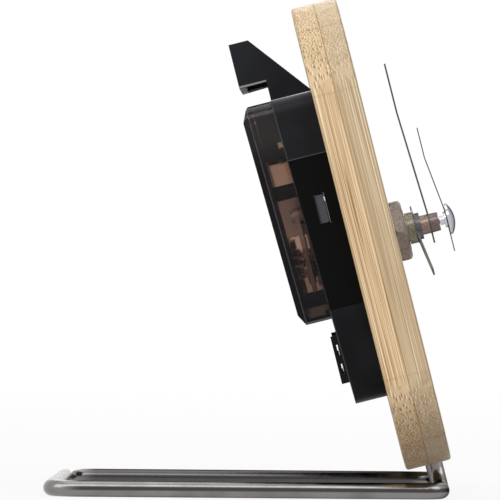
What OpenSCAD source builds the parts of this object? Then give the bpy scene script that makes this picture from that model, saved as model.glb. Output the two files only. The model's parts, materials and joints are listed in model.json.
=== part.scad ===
// Wooden desk clock. A bamboo board of two glued plies leans back on a bent wire stand.
// A quartz movement is clamped to its back by a hex nut, and three hands turn on its face.
// Millimetres, +Z up, the face looks towards -Y, and the clock stands on z = 0.

/* [Board] */
// Side of the square board
board_side = 86; // [78:1:110]
// Thickness of the front ply
front_ply_t = 4.2; // [3.6:0.1:6]
// Thickness of the rear ply
rear_ply_t = 4.2; // [3.6:0.1:6]
// Corner radius of the board's outline
board_corner = 17; // [8:1:24]
// Softening of the board's front and back edges
edge_soft = 0.6; // [0.3:0.1:1]
// Height of the hand shaft above the board's lower edge
shaft_h = 42.4; // [40:0.1:50]
// Lean of the board from upright, in degrees
lean = 14.5; // [8:0.5:18]

/* [Stand] */
// Diameter of the bent rod
rod_d = 3; // [2.5:0.1:3.4]
// Distance between the middles of the two side runs
stand_w = 54; // [52:1:64]
// Distance between the middles of the two uprights
upright_gap = 35; // [28:1:36]
// Length of the stand, from the front of the rod to the back of it
stand_l = 73.8; // [66:1:90]
// Height of the board's lower rear corner above the table
board_lift = 5.2; // [5:0.1:9]
// Middle of the uprights, ahead of the board's rear face
upright_z = 5.3; // [4:0.1:5.4]
// Depth of the upright holes
upright_depth = 12; // [8:1:16]
// Inner-line radius of the rod's bends
bend_r = 4; // [3.5:0.1:4.4]

/* [Movement] */
// Width and height of the front case
case_w = 57; // [56:0.5:60]
// Depth of the front case at its top
case_top_d = 7.6; // [7.4:0.1:8.4]
// Depth of the front case at its bottom
case_low_d = 5.9; // [5.6:0.1:7]
// Corner radius of the front case
case_corner = 3; // [2:0.5:4]
// Wall of the front case
case_wall = 1.2; // [1:0.1:1.4]
// Rear cover: depth of its back below the board's rear face, at its top
cover_top_d = 13.3; // [13:0.1:15]
// The same at its foot
cover_low_d = 12.2; // [12:0.1:14]
// Wall of the rear cover
cover_wall = 1; // [0.8:0.1:1.1]
// Diameter of the round cell that the bay takes
cell_d = 14.5; // [14:0.1:14.5]
// Width of the wall hanger
hanger_w = 33; // [26:1:40]
// How far the wall hanger stands above the front case
hanger_h = 12; // [10:0.1:14]

/* [Hands] */
// Length of the minute hand from its axis
minute_l = 30.8; // [24:0.2:36]
// Length of the hour hand from its axis
hour_l = 17.6; // [14:0.1:20]
// Length of the second hand from its axis
second_l = 17.8; // [14:0.2:26]
// Width of the minute hand
minute_w = 2; // [1.4:0.1:3]
// Width of the hour hand
hour_w = 2.4; // [1.6:0.1:3.4]
// Width of the second hand
second_w = 0.9; // [0.7:0.1:1.4]
// Hour that the hour hand shows at rest, 0 to 12
hour_shown = 8; // [0:1:12]

/* [Fastening] */
// Width of the hex nut across its flats
nut_af = 11; // [9.5:0.1:12]
// Thickness of the hex nut
nut_t = 2.2; // [1.8:0.1:3]
// Outer diameter of the threaded bush
bush_d = 7.6; // [7.2:0.1:8]

/* [Hidden] */
$fn = 64;

// Overrun of every cut
over = 0.3;
// Clearance on the radius of every turning fit
run_gap = 0.05;
// Clearance between pieces that slip into each other
slip_gap = 0.1;

// Board: total thickness, and the shaft's place behind it
board_t = front_ply_t + rear_ply_t;
shaft_hole_d = bush_d + 2 * slip_gap;

// Stack of the hands, as heights above the board's front face
washer_t = 0.4;
washer_d = nut_af;
nut_top = washer_t + nut_t;
bush_top = nut_top + slip_gap;
collet_l = 1.4;
hand_t = 0.3;
hour_tube_rise = 1.2;
minute_rise = 1.5;
minute_nut_t = 1.6;
second_tube_gap = 0.15;
second_tube_l = 0.85;
flange_t = 0.4;
hour_plate_f = bush_top + slip_gap + collet_l;
hour_tube_top = hour_plate_f + hour_tube_rise;
minute_plate_f = hour_tube_top + minute_rise;
minute_nut_top = minute_plate_f + hand_t + minute_nut_t;
minute_arbor_top = minute_nut_top - second_tube_gap;
second_tube_f = minute_nut_top + second_tube_gap;
flange_f = second_tube_f + second_tube_l;
second_plate_f = flange_f + flange_t;
second_hand_t = 0.2;
cap_f = second_plate_f + second_hand_t;
cap_rim_t = 0.45;
cap_dome_h = 0.95;

// Radii round the shaft, from the middle outwards
second_arbor_r = 0.5;
minute_bore_r = second_arbor_r + run_gap;
minute_tail_r = 1.1;
minute_seat_r = 1.3;
minute_r = 1.8;
hour_bore_r = minute_r + run_gap;
hour_tube_r = 2.5;
bush_bore_r = hour_tube_r + run_gap;
collet_r = 2.93;
second_tube_r = 0.82;
flange_r = 1.48;
cap_r = 2.88;
hour_boss_r = 3.07;
minute_boss_r = 2.1;
second_boss_r = flange_r + slip_gap;
cap_ball_r = (cap_r * cap_r + cap_dome_h * cap_dome_h) / (2 * cap_dome_h);

// Place of the shaft at the board's rear face, with the whole clock centred over the origin
shaft_z = board_lift + shaft_h * cos(lean);
foot_up = (rod_d / 2 - shaft_z - upright_z * sin(lean)) / cos(lean);
foot_back = foot_up * sin(lean) - upright_z * cos(lean);
stand_reach = rod_d / 2 - foot_back;
cap_top = board_t + cap_f + cap_rim_t + cap_dome_h;
cap_reach = (cap_top - cap_ball_r) * cos(lean) + cap_ball_r;
front_reach = max(stand_reach, cap_reach);
shaft_y = (front_reach + stand_reach - stand_l) / 2;
foot_y = shaft_y + foot_back;
stand_back_y = shaft_y - stand_reach + stand_l - rod_d / 2;

// Movement: the case's outline, rim and rooms. The train and the cell set how far the case
// reaches below the shaft, and its width sets how far it reaches above it
case_half = case_w / 2;
case_in = case_half - case_wall;
train_low = 11.5;
bay_wall = 1.1;
cell_gap = 0.15;
bay_r = cell_d / 2 + cell_gap;
bay_floor = 1;
partition_y = -train_low;
cover_foot_y = partition_y - cover_wall;
bay_y = cover_foot_y - slip_gap - bay_r;
case_low_y = bay_y - bay_r - bay_wall;
case_top_y = case_low_y + case_w;
case_top_in = case_top_y - case_wall;
cell_axis_d = bay_floor + bay_r;
rim_slope = (case_top_d - case_low_d) / case_w;

// Depth of the case's rim below the board at the height y on the dial
function rim_d(y) = case_low_d + (y - case_low_y) * rim_slope;

// Rear cover
cover_cut = 1.1;
cover_cut_l = 2;
cover_edge = 0.5;
cover_edge_d = 1;
bulge_l = 2.8;
cover_inset = 0.15;
cover_half = case_half - cover_inset;
cover_top_y = case_top_y - cover_inset;
cover_bulge_y = cover_top_y - bulge_l;
cover_slope = (cover_top_d - cover_low_d) / (cover_bulge_y - cover_foot_y - cover_cut_l);
lip_h = 1.5;
lip_t = 0.6;
tab_y = 7.2;
tab_w = 5.2;
tab_d = 2.5;
hook_l = 1.5;
window_gap = 0.2;

// Depth of the cover's outer back at the height y on the dial
function cover_d(y) = cover_low_d + (y - cover_foot_y - cover_cut_l) * cover_slope;

// Layers of the movement, as depths below the board's rear face
wheel_t = 0.6;
pinion_over = 0.1;
layer_gap = 0.3;
train_gap = 0.4;
plate_gap = 0.5;
plate_t = 0.8;
magnet_gap = 1.2;
magnet_t = 1.4;
stator_t = 0.8;
hour_d = case_wall + layer_gap;
motion_d = hour_d + wheel_t + layer_gap;
centre_d = motion_d + wheel_t + train_gap;
plate_d = centre_d + wheel_t + plate_gap;
inter_d = plate_d + plate_t + layer_gap;
second_d = inter_d + wheel_t + train_gap;
third_d = second_d + wheel_t + train_gap;
magnet_d = inter_d + wheel_t + magnet_gap;
stator_d = magnet_d + layer_gap;
bearing_d = magnet_d + magnet_t + layer_gap;
pivot_l = 0.8;
boss_wall = 0.8;
arbor_r = 0.4;

// Teeth of the train, and its centre distances
rotor_teeth = 8;
inter_teeth = 40;
inter_leaves = 8;
second_teeth = 48;
second_leaves = 8;
third_teeth = 60;
third_leaves = 8;
centre_teeth = 64;
cannon_leaves = 15;
motion_teeth = 45;
motion_leaves = 12;
hour_teeth = 48;
knob_leaves = 15;
second_reach = 7;
rotor_reach = 6;
third_reach = 7.6;
motion_reach = 6;

// Bearings of the arbors round the shaft, as angles on the dial
inter_angle = 191;
rotor_angle = 196;
third_angle = 50;
motion_angle = -60;
knob_angle = 30;
inter_at = second_reach * [cos(inter_angle), sin(inter_angle)];
rotor_at = inter_at + rotor_reach * [cos(rotor_angle), sin(rotor_angle)];
third_at = third_reach * [cos(third_angle), sin(third_angle)];
motion_at = motion_reach * [cos(motion_angle), sin(motion_angle)];
knob_at = motion_at + motion_reach * [cos(knob_angle), sin(knob_angle)];

// Outline of one tooth: shares of the pitch to its side, and of the module above the pitch circle
wheel_tooth_shares = [[-0.27, -1.15], [-0.19, 0], [-0.07, 0.85], [0.07, 0.85], [0.19, 0], [0.27, -1.15]];
leaf_tooth_shares = [[-0.2, -1.15], [-0.18, 0], [-0.1, 0.6], [0.1, 0.6], [0.18, 0], [0.2, -1.15]];

// Setting knob and its well
knob_r = 4.2;
knob_t = 1.7;
knob_shaft_r = 0.8;
well_gap = 0.5;
knob_back_d = cover_d(knob_at[1]);
well_floor_d = knob_back_d - knob_t - slip_gap;

// Coil and stator, from the train's side to the case's side wall
coil_y = 7;
coil_end_x = -9.3;
lug_wall_gap = 2.8;
lug_x = lug_wall_gap - case_in;
coil_lug_l = coil_end_x - lug_x;
bobbin_inset = 1.6;
bobbin_l = coil_lug_l - 2 * bobbin_inset;
flange_size = 6.8;
bobbin_t = 0.8;
bobbin_tube_r = 1.9;
winding_r = 2.9;
core_w = 2.4;
core_t = stator_t;
core_d = stator_d - core_t;
lug_r = 1.5;
screw_r = 0.6;
screw_head_r = 1.1;
screw_head_t = 0.6;
rotor_r = 2.5;
rotor_gap = 0.4;
stator_arm_w = 2.6;

// Circuit board, in the room between the train and the case's upper wall
train_top = 12.9;
pcb_room = case_top_in - lip_t - 2 * slip_gap - train_top;
pcb_w = 24;
pcb_h = pcb_room * 0.62;
pcb_t = 0.8;
pcb_y = train_top + pcb_room * 0.655;
pcb_d = third_d + wheel_t;
post_r = 1.2;

// Cell contacts
contact_t = 0.3;
strip_w = 1;
strip_d = case_wall + contact_t / 2;
contact_w = 6;
leaf_l = 4.5;

// Wall hanger
hanger_wall = 1.2;
hanger_neck_d = 7.5;
hanger_top_d = 8.95;
hanger_back_d = 12.6;
hanger_notch = 3.9;
hanger_lip = 0.2;
nail_slot_w = 4.4;

// Turns its child from the dial's frame, x to the right, y up the board and z to the front
module at_dial() {
    translate([0, shaft_y, shaft_z]) rotate([90 - lean, 0, 0]) children();
}

// A side outline of [y, z] points, made w wide about the middle
module side_profile(w) {
    rotate([90, 0, 90]) linear_extrude(w, center = true) children();
}

// A square outline with round corners
module round_square(side, r) {
    square([side - 2 * r, side], center = true);
    square([side, side - 2 * r], center = true);
    for (x = [-1, 1], y = [-1, 1]) translate([x, y] * (side / 2 - r)) circle(r);
}

// A round hole or rod along z, from z0 to z1
module rod(r, z0, z1) {
    translate([0, 0, z0]) cylinder(r = r, h = z1 - z0);
}

// A box from its lowest to its highest corner
module box(low, high) {
    translate(low) cube(high - low);
}

// The turn that puts a wheel in mesh: the first has n1 teeth and its own turn, and the second
// lies at the angle towards and has n2 teeth
function mesh_turn(n1, turn1, n2, towards) =
    towards + 180 - (0.5 - (towards - turn1) * n1 / 360) * 360 / n2;

// A toothed disc of pitch radius n * m / 2, with its back face at the depth d
module toothed(n, m, d, t, turn, shares) {
    translate([0, 0, -d - t]) linear_extrude(t)
        polygon([for (i = [0:n - 1], p = shares)
            (n * m / 2 + m * p[1]) * [cos(turn + (i + p[0]) * 360 / n), sin(turn + (i + p[0]) * 360 / n)]]);
}

module wheel(n, m, d, turn = 0) {
    toothed(n, m, d, wheel_t, turn, wheel_tooth_shares);
}

module pinion(n, m, d, turn = 0) {
    toothed(n, m, d - pinion_over, wheel_t + 2 * pinion_over, turn, leaf_tooth_shares);
}

// Modules of the pairs of wheels, from their centre distances
second_m = 2 * second_reach / (inter_leaves + second_teeth);
rotor_m = 2 * rotor_reach / (rotor_teeth + inter_teeth);
third_m = 2 * third_reach / (second_leaves + third_teeth);
centre_m = 2 * third_reach / (third_leaves + centre_teeth);
motion_m = 2 * motion_reach / (cannon_leaves + motion_teeth);
hour_m = 2 * motion_reach / (motion_leaves + hour_teeth);

// Turns of the wheels that are in mesh at rest
inter_leaf_turn = mesh_turn(second_teeth, 0, inter_leaves, inter_angle);
rotor_turn = mesh_turn(inter_teeth, 0, rotor_teeth, rotor_angle);
third_turn = mesh_turn(second_leaves, 0, third_teeth, third_angle);
centre_turn = mesh_turn(third_leaves, 0, centre_teeth, third_angle + 180);
motion_turn = mesh_turn(cannon_leaves, 0, motion_teeth, motion_angle);
hour_turn = mesh_turn(motion_leaves, 0, hour_teeth, motion_angle + 180);
knob_turn = mesh_turn(motion_teeth, motion_turn, knob_leaves, knob_angle);

// Half of a section with one softened corner, w wide and t high
module soft_half(w, t) {
    square([w, t - edge_soft]);
    square([w - edge_soft, t]);
    translate([w - edge_soft, t - edge_soft]) circle(edge_soft);
}

// A board of thickness t with its upper edge softened all round
module soft_board(t) {
    half = board_side / 2;
    for (turn = [0, 90]) rotate([0, 0, turn]) rotate([90, 0, 0])
        linear_extrude(board_side - 2 * board_corner, center = true) {
            soft_half(half, t);
            mirror([1, 0]) soft_half(half, t);
        }
    for (x = [-1, 1], y = [-1, 1]) translate([x, y] * (half - board_corner))
        rotate_extrude() soft_half(board_corner, t);
}

// The board's own middle, in the dial's frame
module at_board() {
    translate([0, board_side / 2 - shaft_h, 0]) children();
}

// The hand hole and the two upright holes
module board_holes() {
    rod(shaft_hole_d / 2, -over, board_t + over);
    for (x = [-1, 1]) translate([x * upright_gap / 2, -shaft_h - over, upright_z])
        rotate([-90, 0, 0]) cylinder(r = rod_d / 2 + run_gap, h = upright_depth + over);
}

module front_ply() {
    color([0.85, 0.69, 0.48]) at_dial() difference() {
        translate([0, 0, rear_ply_t]) at_board() soft_board(front_ply_t);
        board_holes();
    }
}

module rear_ply() {
    color([0.82, 0.66, 0.45]) at_dial() difference() {
        translate([0, 0, rear_ply_t]) mirror([0, 0, 1]) at_board() soft_board(rear_ply_t);
        board_holes();
    }
}

// A quarter bend of the rod about its own middle, starting on +x
module rod_bend() {
    rotate_extrude(angle = 90) translate([bend_r, 0]) circle(d = rod_d);
}

// A straight run of the rod along z
module rod_run(l) {
    cylinder(d = rod_d, h = l);
}

// One side of the stand, from its foot under the board: up into the board, and back along the table
// to the middle of the rear run
module stand_side() {
    upright_x = upright_gap / 2;
    side_x = stand_w / 2;
    back_l = stand_back_y - foot_y;
    translate([0, foot_y, rod_d / 2]) {
        rotate([90 - lean, 0, 0]) {
            translate([upright_x, bend_r, 0]) rotate([-90, 0, 0])
                rod_run(upright_depth - shaft_h - foot_up - bend_r);
            translate([upright_x + bend_r, bend_r, 0]) rotate([0, 0, 180]) rod_bend();
        }
        translate([upright_x + bend_r, 0, 0]) rotate([0, 90, 0]) rod_run(side_x - upright_x - 2 * bend_r);
        translate([side_x - bend_r, bend_r, 0]) rotate([0, 0, -90]) rod_bend();
        translate([side_x, bend_r, 0]) rotate([-90, 0, 0]) rod_run(back_l - 2 * bend_r);
        translate([side_x - bend_r, back_l - bend_r, 0]) rod_bend();
        translate([0, back_l, 0]) rotate([0, 90, 0]) rod_run(side_x - bend_r);
    }
}

module wire_stand() {
    color([0.7, 0.68, 0.66]) {
        stand_side();
        mirror([1, 0, 0]) stand_side();
    }
}

// Posts that carry the middle plate and the circuit board, as places on the dial
pcb_post_inset = 2.3;
pcb_post_x = pcb_w / 2 - pcb_post_inset;
pcb_post_y = pcb_y + pcb_h / 2 - pcb_post_inset;
pcb_posts = [[pcb_post_x, pcb_post_y], [-pcb_post_x, pcb_post_y]];
plate_low_x = -16;
plate_high_x = 15.5;
plate_low_y = partition_y + 1;
plate_step_x = -6.5;
plate_step_y = 2.6;
plate_high_y = 0.6 * pcb_post_y;
plate_inset = 1.6;
plate_posts = [
    [plate_low_x + plate_inset, plate_low_y + plate_inset],
    [plate_high_x - plate_inset, plate_low_y + plate_inset],
    [plate_high_x - plate_inset, plate_high_y - plate_inset],
    [plate_step_x + plate_inset, plate_high_y - plate_inset]
];
peg_r = 0.6;
lug_places = [[lug_x, coil_y], [lug_x + coil_lug_l, coil_y]];
stator_neck = 1;
stator_low = rotor_at[1] - rotor_r - rotor_gap - stator_neck;
stator_high = rotor_at[1] + rotor_r + rotor_gap + stator_neck;
stator_foot = [lug_x, rotor_at[1]];

// Rails with two slots on the ends of the cell bay
rail_w = 8.8;
rail_h = 1.3;
slot_l = 1.9;
slot_t = 0.55;
rail_d = rim_d(bay_y);

module bay_rail() {
    difference() {
        box([case_in, bay_y - rail_w / 2, -rail_d - rail_h],
            [case_half, bay_y + rail_w / 2, case_wall - rail_d]);
        for (y = [-1, 1])
            translate([case_half - case_wall / 2, bay_y + y * rail_w / 5, -rail_d - rail_h / 2])
                cube([case_wall + 2 * over, slot_l, slot_t], center = true);
    }
}

// Recess of the case's side wall, and its window for the cover's snap hook
recess_t = 0.35;
recess_top_y = 17;
recess_low_y = -11;

module side_cuts() {
    box([case_half - recess_t, recess_low_y, -case_top_d - over], [case_half + over, recess_top_y, over]);
    box([case_in - over, tab_y - tab_w / 2 - window_gap, -tab_d - hook_l - window_gap],
        [case_half + over, tab_y + tab_w / 2 + window_gap, -tab_d + window_gap]);
    box([case_in - contact_t - slip_gap, bay_y, -strip_d - strip_w - slip_gap],
        [case_in, partition_y + over, -strip_d + slip_gap]);
}

bush_flange_w = 1.2;
bush_flange_t = 0.7;
flange_in_r = bush_d / 2 + bush_flange_w;
third_boss_top = centre_d - layer_gap;
motion_post_top = motion_d + wheel_t + pinion_over;
tongue_w = 16;
tongue_t = 1.6;
tongue_d = 2.4;
screw_l = 3;

// Upright walls of the front case on both sides of the works, in three lengths up the dial, with a
// slot for the contacts' feet
screen_t = 1;
screen_gap = 0.2;
screen_x = screen_t / 2 + screen_gap - plate_low_x;
screen_d = cover_low_d - cover_wall;
screen_end = lip_t + slip_gap + screen_gap;
screen_mid_y = coil_y + flange_size / 2 + screen_gap;
screen_mid_l = 2.6;
screen_spans = [
    [cover_foot_y + cover_cut_l + cover_wall / 2 + screen_gap, stator_low - screen_gap],
    [screen_mid_y, screen_mid_y + screen_mid_l],
    [pcb_y - 0.46 * pcb_h, case_top_in - screen_end]
];

module screens() {
    for (x = [-screen_x, screen_x]) difference() {
        for (span = screen_spans)
            box([x - screen_t / 2, span[0], -screen_d], [x + screen_t / 2, span[1], -case_wall / 2]);
        box([x - screen_t, foot_tab_y - slip_gap, -pcb_d - slip_gap],
            [x + screen_t, foot_tab_y + strip_w + slip_gap, contact_t + slip_gap - pcb_d]);
    }
}

module front_case() {
    color([0.07, 0.07, 0.08]) at_dial() difference() {
        union() {
            difference() {
                intersection() {
                    side_profile(case_w) polygon([[case_low_y, 0], [case_top_y, 0],
                        [case_top_y, -case_top_d], [case_low_y, -case_low_d]]);
                    translate([0, case_top_y - case_half, -case_top_d - over])
                        linear_extrude(case_top_d + 2 * over) round_square(case_w, case_corner);
                }
                box([-case_in, partition_y, -case_top_d - over], [case_in, case_top_in, -case_wall]);
                translate([0, bay_y, -cell_axis_d]) rotate([0, 90, 0])
                    cylinder(r = bay_r, h = 2 * case_in, center = true);
            }
            bay_rail();
            mirror([1, 0, 0]) bay_rail();
            screens();
            for (p = plate_posts) translate(p) {
                rod(post_r, -plate_d, -case_wall / 2);
                rod(peg_r, -plate_d - plate_t, -plate_d);
            }
            for (p = pcb_posts) translate(p) {
                rod(post_r, -pcb_d, -case_wall / 2);
                rod(peg_r, -pcb_d - pcb_t, -pcb_d);
            }
            for (p = lug_places) translate(p) rod(lug_r, -core_d, -case_wall / 2);
            translate(stator_foot) rod(lug_r, -stator_d, -case_wall / 2);
            translate(third_at) rod(arbor_r + run_gap + boss_wall, -third_boss_top, -case_wall / 2);
            translate(motion_at) rod(arbor_r, -motion_post_top, -case_wall / 2);
        }
        rod(bush_d / 2 + slip_gap / 2, -case_wall - over, over);
        rod(flange_in_r + slip_gap / 2, -case_wall - over, -case_wall + bush_flange_t);
        translate(third_at) rod(arbor_r + run_gap, -third_boss_top - over, -case_wall);
        translate(knob_at) rod(arbor_r + run_gap, -case_wall - over, -case_wall / 3);
        for (p = lug_places) translate(p) rod(screw_r, -core_d - over, -core_d + screw_l);
        translate(stator_foot) rod(screw_r, -stator_d - over, -stator_d + screw_l);
        box([-tongue_w / 2 - slip_gap, case_top_in - over, -tongue_d - tongue_t - slip_gap],
            [tongue_w / 2 + slip_gap, case_top_y + over, -tongue_d + slip_gap]);
        side_cuts();
        mirror([1, 0, 0]) side_cuts();
    }
}

// The hanger: a sloped hood on a neck, hollow from behind, with a slot for a nail
hanger_top_y = case_top_y + hanger_h;
hanger_notch_y = case_top_y + hanger_notch;
nail_y = hanger_top_y - 2 * hanger_wall - nail_slot_w / 2;

module wall_hanger() {
    color([0.07, 0.07, 0.08]) at_dial() {
        difference() {
            side_profile(hanger_w) polygon([[case_top_y, 0], [case_top_y + edge_soft, 0],
                [hanger_top_y, -hanger_top_d], [hanger_top_y, -hanger_back_d],
                [hanger_notch_y - hanger_lip, -hanger_back_d], [hanger_notch_y, -hanger_neck_d],
                [case_top_y, -hanger_neck_d]]);
            side_profile(hanger_w - 2 * hanger_wall) polygon([
                [case_top_y + hanger_wall, -hanger_wall - edge_soft],
                [hanger_top_y - hanger_wall, -hanger_top_d - hanger_wall / 2],
                [hanger_top_y - hanger_wall, -hanger_back_d + hanger_wall],
                [hanger_notch_y - over, -hanger_back_d + hanger_wall],
                [hanger_notch_y - over, -hanger_neck_d],
                [hanger_notch_y, -hanger_neck_d + hanger_wall],
                [case_top_y + hanger_wall, -hanger_neck_d + hanger_wall]]);
            box([-nail_slot_w / 2, hanger_notch_y - over, -hanger_back_d - over],
                [nail_slot_w / 2, nail_y, over + hanger_wall - hanger_back_d]);
            translate([0, nail_y, 0])
                rod(nail_slot_w / 2, -hanger_back_d - over, over + hanger_wall - hanger_back_d);
        }
        box([-tongue_w / 2, case_top_in, -tongue_d - tongue_t],
            [tongue_w / 2, case_top_y + hanger_wall / 2, -tongue_d]);
    }
}

// Side outline of the rear cover, drawn in by t, with its mouth at the height front above the rim
function cover_points(t, front) = [
    [cover_foot_y + t, front - rim_d(cover_foot_y)],
    [cover_foot_y + t, t + cover_cut - cover_low_d],
    [cover_foot_y + cover_cut_l + t / 2, t - cover_low_d],
    [cover_bulge_y, t - cover_top_d],
    [cover_top_y - t - cover_edge, t + cover_edge_d - cover_top_d],
    [cover_top_y - t, t + cover_edge_d + cover_edge - cover_top_d],
    [cover_top_y - t, front - rim_d(cover_top_y)]
];
cover_in = case_in - slip_gap - lip_t / 4;
lip_out = case_in - slip_gap;
lip_top_y = case_top_in - slip_gap;
lip_low_y = partition_y + slip_gap;
foot_tab_y = pcb_y - pcb_h / 4;
pip_y = -5.9;
pip_r = 0.8;
pip_h = 0.3;
pip_ball_r = (pip_r * pip_r + pip_h * pip_h) / (2 * pip_h);

// The lip's outer or inner block, drawn in by t
module lip_block(t, extra) {
    side_profile(2 * (lip_out - t)) polygon([
        [lip_low_y + t, -rim_d(lip_low_y) - lip_h / 2 - extra],
        [lip_low_y + t, -rim_d(lip_low_y) + lip_h + extra],
        [lip_top_y - t, -rim_d(lip_top_y) + lip_h + extra],
        [lip_top_y - t, -rim_d(lip_top_y) - lip_h / 2 - extra]]);
}

// One snap tab with its hook, on +x
module snap_tab() {
    box([lip_out - 1.4 * lip_t, tab_y - tab_w / 2, -rim_d(tab_y) - lip_h / 2],
        [lip_out, tab_y + tab_w / 2, -tab_d]);
    box([lip_out - lip_t, tab_y - tab_w / 2, -tab_d - hook_l],
        [case_half - 2 * recess_t, tab_y + tab_w / 2, -tab_d]);
}

// Bearing boss on the cover's inside, at the place p and for an arbor of radius r
module bearing_boss(p, r) {
    translate(p) rod(r + run_gap + boss_wall, -cover_d(p[1]) + cover_wall / 2, -bearing_d);
}

module bearing_hole(p, r) {
    translate(p) rod(r + run_gap, -bearing_d - pivot_l, -bearing_d + over);
}

// Room in the lip and the wall for a contact's strip
module strip_notch() {
    box([lip_out - lip_t - over, foot_tab_y - slip_gap, -pcb_d - slip_gap],
        [case_in + slip_gap, foot_tab_y + strip_w + slip_gap, over - rim_d(foot_tab_y) + lip_h]);
}

module rear_cover() {
    color([0.2, 0.14, 0.12, 0.6]) at_dial() difference() {
        union() {
            difference() {
                intersection() {
                    side_profile(2 * cover_half) polygon(cover_points(0, 0));
                    translate([0, cover_top_y - cover_half, -cover_top_d - over])
                        linear_extrude(cover_top_d) round_square(2 * cover_half, case_corner);
                }
                side_profile(2 * cover_in) polygon(cover_points(cover_wall, over));
            }
            difference() {
                lip_block(0, 0);
                lip_block(lip_t, over);
            }
            snap_tab();
            mirror([1, 0, 0]) snap_tab();
            bearing_boss([0, 0], second_arbor_r);
            bearing_boss(third_at, arbor_r);
            bearing_boss(inter_at, arbor_r);
            bearing_boss(rotor_at, arbor_r);
            translate(knob_at)
                rod(knob_r + well_gap + cover_wall, cover_wall / 2 - knob_back_d, cover_wall - well_floor_d);
            translate([0, pip_y, -cover_d(pip_y)]) intersection() {
                translate([0, 0, pip_ball_r - pip_h]) sphere(pip_ball_r);
                rod(pip_ball_r + over, -2 * pip_h, cover_wall / 2);
            }
        }
        strip_notch();
        mirror([1, 0, 0]) strip_notch();
        bearing_hole([0, 0], second_arbor_r);
        bearing_hole(third_at, arbor_r);
        bearing_hole(inter_at, arbor_r);
        bearing_hole(rotor_at, arbor_r);
        translate(knob_at) {
            rod(knob_r + well_gap, -cover_top_d - over, -well_floor_d);
            rod(knob_shaft_r + run_gap, -well_floor_d - over, -well_floor_d + cover_wall + over);
        }
    }
}

module threaded_bush() {
    color([0.72, 0.6, 0.36]) at_dial() difference() {
        union() {
            rod(bush_d / 2, -case_wall, board_t + bush_top);
            rod(flange_in_r, -case_wall, -case_wall + bush_flange_t);
        }
        rod(bush_bore_r, -case_wall - over, board_t + bush_top + over);
    }
}

module nut_washer() {
    color([0.6, 0.58, 0.56]) at_dial() difference() {
        rod(washer_d / 2, board_t, board_t + washer_t);
        rod(bush_d / 2 + slip_gap, board_t - over, board_t + washer_t + over);
    }
}

nut_turn = 2;
nut_corner_r = nut_af / sqrt(3);
nut_bevel = nut_corner_r - nut_af / 2;
nut_face_r = nut_corner_r - 1.6 * nut_bevel;

module hex_nut() {
    color([0.55, 0.52, 0.5]) at_dial() translate([0, 0, board_t + washer_t]) difference() {
        intersection() {
            rotate([0, 0, nut_turn]) cylinder(r = nut_corner_r, h = nut_t, $fn = 6);
            rotate_extrude() polygon([[0, -over], [nut_corner_r - nut_bevel / 2 - over, -over],
                [nut_corner_r + over, nut_bevel / 2 + over],
                [nut_corner_r + over, nut_t - nut_bevel - over / 1.6],
                [nut_face_r - over, nut_t + over / 1.6], [0, nut_t + over / 1.6]]);
        }
        rod(bush_d / 2 + run_gap, -over, nut_t + over);
    }
}

module middle_plate() {
    color([0.16, 0.16, 0.17]) at_dial() difference() {
        union() {
            box([plate_low_x, plate_low_y, -plate_d - plate_t], [plate_high_x, plate_step_y, -plate_d]);
            box([plate_step_x, plate_low_y, -plate_d - plate_t], [plate_high_x, plate_high_y, -plate_d]);
        }
        for (p = plate_posts) translate(p) rod(peg_r + run_gap, -plate_d - plate_t - over, over - plate_d);
        rod(minute_bore_r, -plate_d - plate_t - over, over - plate_d);
        for (p = [inter_at, rotor_at, third_at]) translate(p)
            rod(arbor_r + run_gap, -plate_d - plate_t - over, over - plate_d);
        translate(knob_at) rod(knob_shaft_r + run_gap, -plate_d - plate_t - over, over - plate_d);
    }
}

knob_notches = 18;
notch_r = 0.35;

module setting_knob() {
    color([0.09, 0.09, 0.1]) at_dial() {
        translate(knob_at) {
            difference() {
                rod(knob_r, -knob_back_d, -knob_back_d + knob_t);
                for (i = [1:knob_notches]) rotate([0, 0, i * 360 / knob_notches]) translate([knob_r, 0])
                    rod(notch_r, -knob_back_d - over, -knob_back_d + knob_t + over);
                rod(knob_r / 2, -knob_back_d - over, -knob_back_d + knob_t / 3);
            }
            rod(knob_shaft_r, -knob_back_d + knob_t / 2, -motion_d);
            rod(arbor_r, -motion_d, -case_wall / 2);
            pinion(knob_leaves, motion_m, motion_d, knob_turn);
        }
    }
}

// Depth at which the round bay is as wide as the contact plates
contact_d = cell_axis_d - sqrt(pow(bay_r, 2) - pow(contact_w / 2 + slip_gap, 2));

// The wall part of a contact on the +x end: plate, strip past the partition, and foot under the board
module contact_wall() {
    wall_x = case_in - contact_t;
    box([wall_x, bay_y - contact_w / 2, contact_t - rim_d(bay_y)],
        [case_in, bay_y + contact_w / 2, -contact_d]);
    box([wall_x, bay_y, -strip_d - strip_w], [case_in, foot_tab_y + strip_w, -strip_d]);
    box([wall_x, foot_tab_y, -pcb_d], [case_in, foot_tab_y + strip_w, -strip_d]);
    box([pcb_w / 2 - strip_w, foot_tab_y, -pcb_d], [case_in, foot_tab_y + strip_w, contact_t - pcb_d]);
}

nub_r = 2;
nub_h = 0.6;

module positive_contact() {
    color([0.78, 0.77, 0.74]) at_dial() {
        contact_wall();
        translate([case_in - contact_t - nub_h, bay_y, -cell_axis_d / 2]) rotate([0, 90, 0])
            cylinder(r = nub_r, h = nub_h);
    }
}

leaf_angle = 22;

module negative_contact() {
    color([0.78, 0.77, 0.74]) at_dial() mirror([1, 0, 0]) {
        contact_wall();
        translate([case_in - contact_t, bay_y - leaf_l / 2, -strip_d - strip_w]) rotate([0, leaf_angle, 0])
            translate([0, 0, -leaf_l]) cube([contact_t, leaf_l, leaf_l]);
    }
}

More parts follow.
